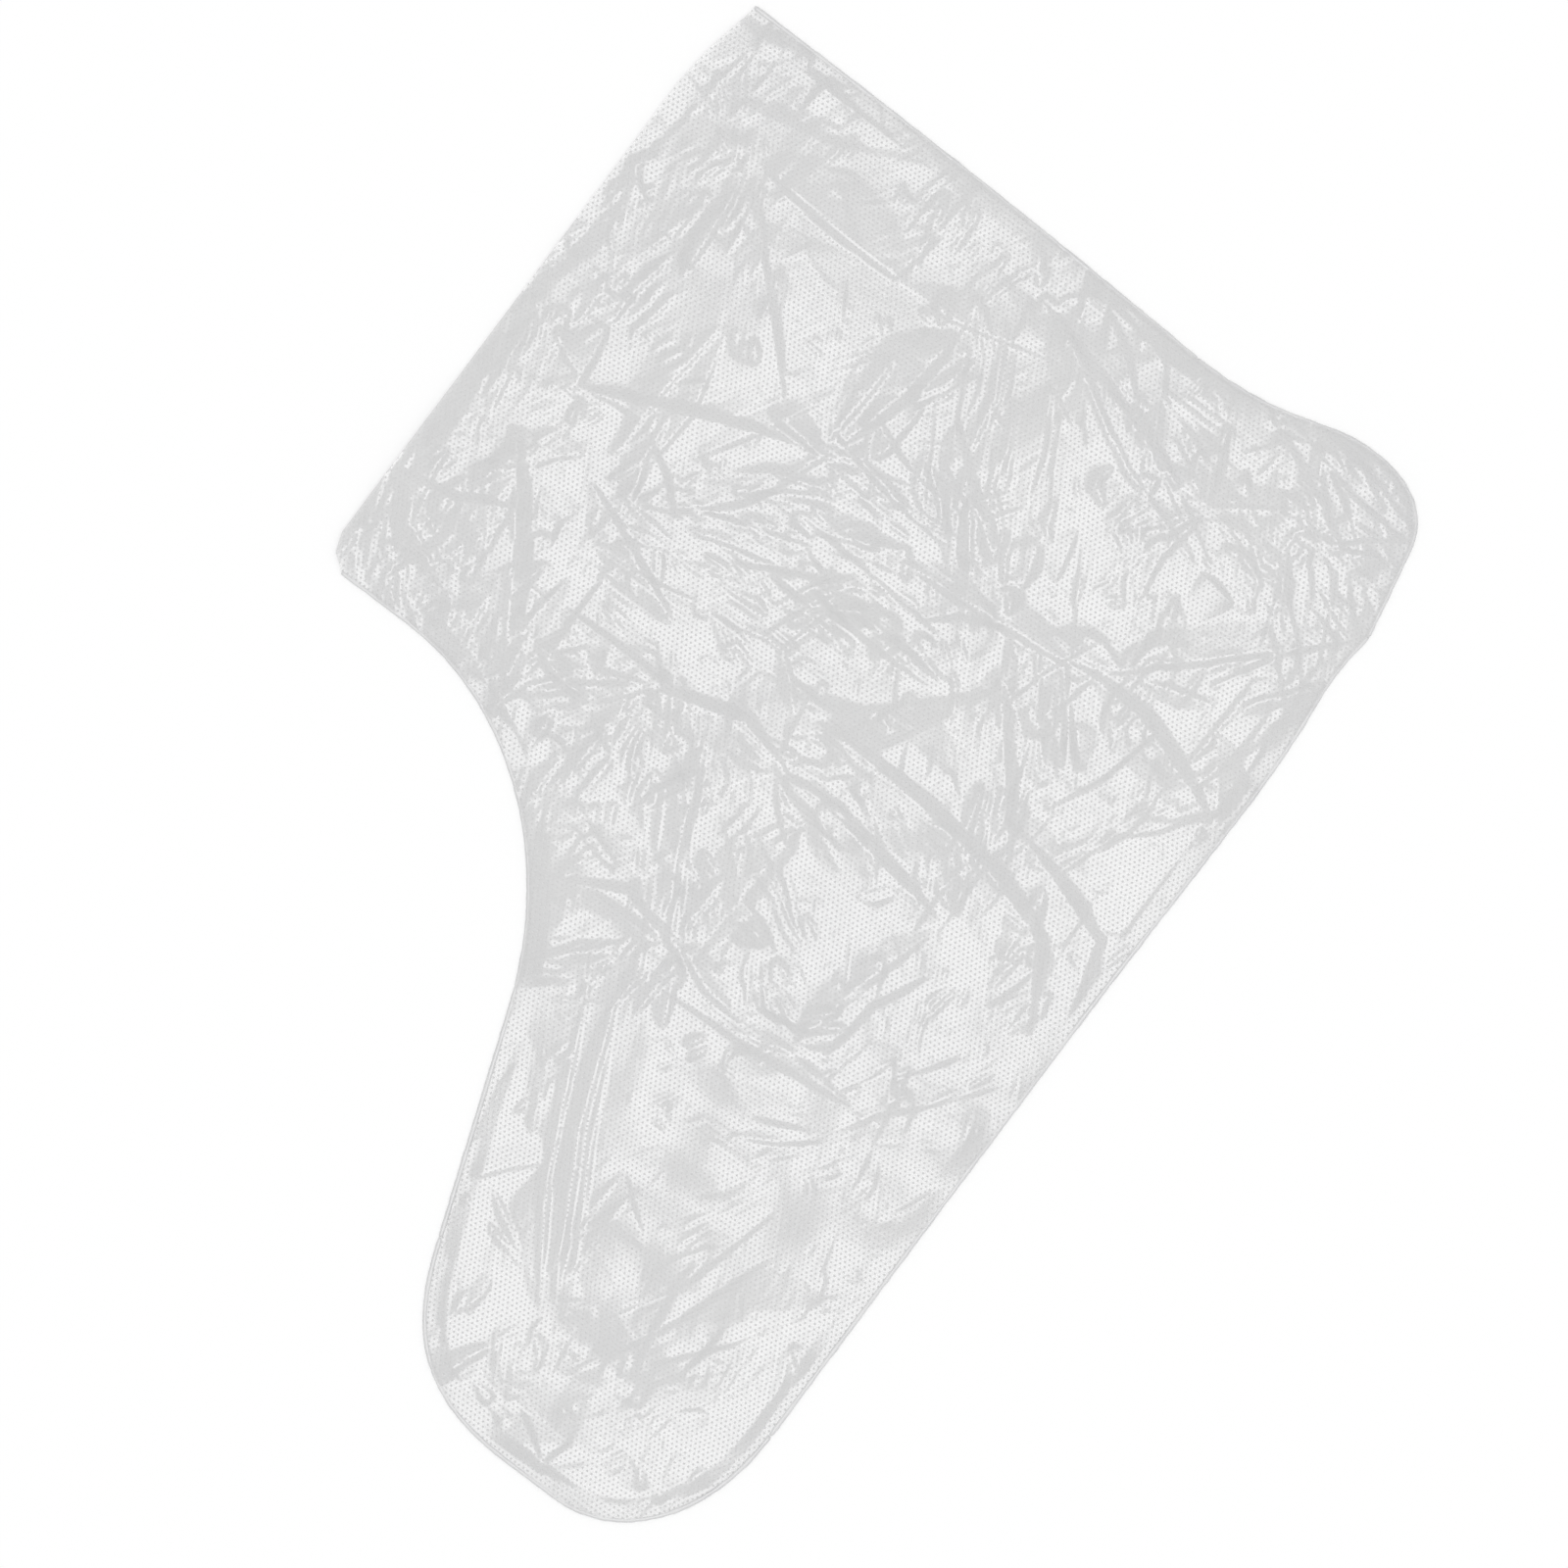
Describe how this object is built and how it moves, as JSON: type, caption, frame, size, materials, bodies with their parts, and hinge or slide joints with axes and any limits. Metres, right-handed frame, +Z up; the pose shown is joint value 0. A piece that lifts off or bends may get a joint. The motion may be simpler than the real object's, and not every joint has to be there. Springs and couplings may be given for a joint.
{
  "type": "disposable foot cover",
  "caption": "Boot-shaped disposable foot cover of thin embossed translucent film, two layers welded round the edge and open at the ankle, lying flat.",
  "frame": {"origin": "middle of the outline's bounding box, on the surface the cover lies on", "axes": "+X from toe to heel, +Y from sole up the leg to the mouth, +Z up from the surface, through the far film and then the near film"},
  "size_m": [0.34, 0.2276, 0.0117],
  "materials": {
    "film": "thin translucent polyethylene film, embossed all over with a fine dimple pattern, soft gloss, crumpled",
    "weld": "the two films melted into one clear bead along the cut edge, gloss"
  },
  "bodies": {
    "root": {"near_film": "film", "far_film": "film", "instep_weld": "weld", "toe_weld": "weld", "sole_weld": "weld", "heel_weld": "weld", "back_weld": "weld"}
  },
  "joints": []
}
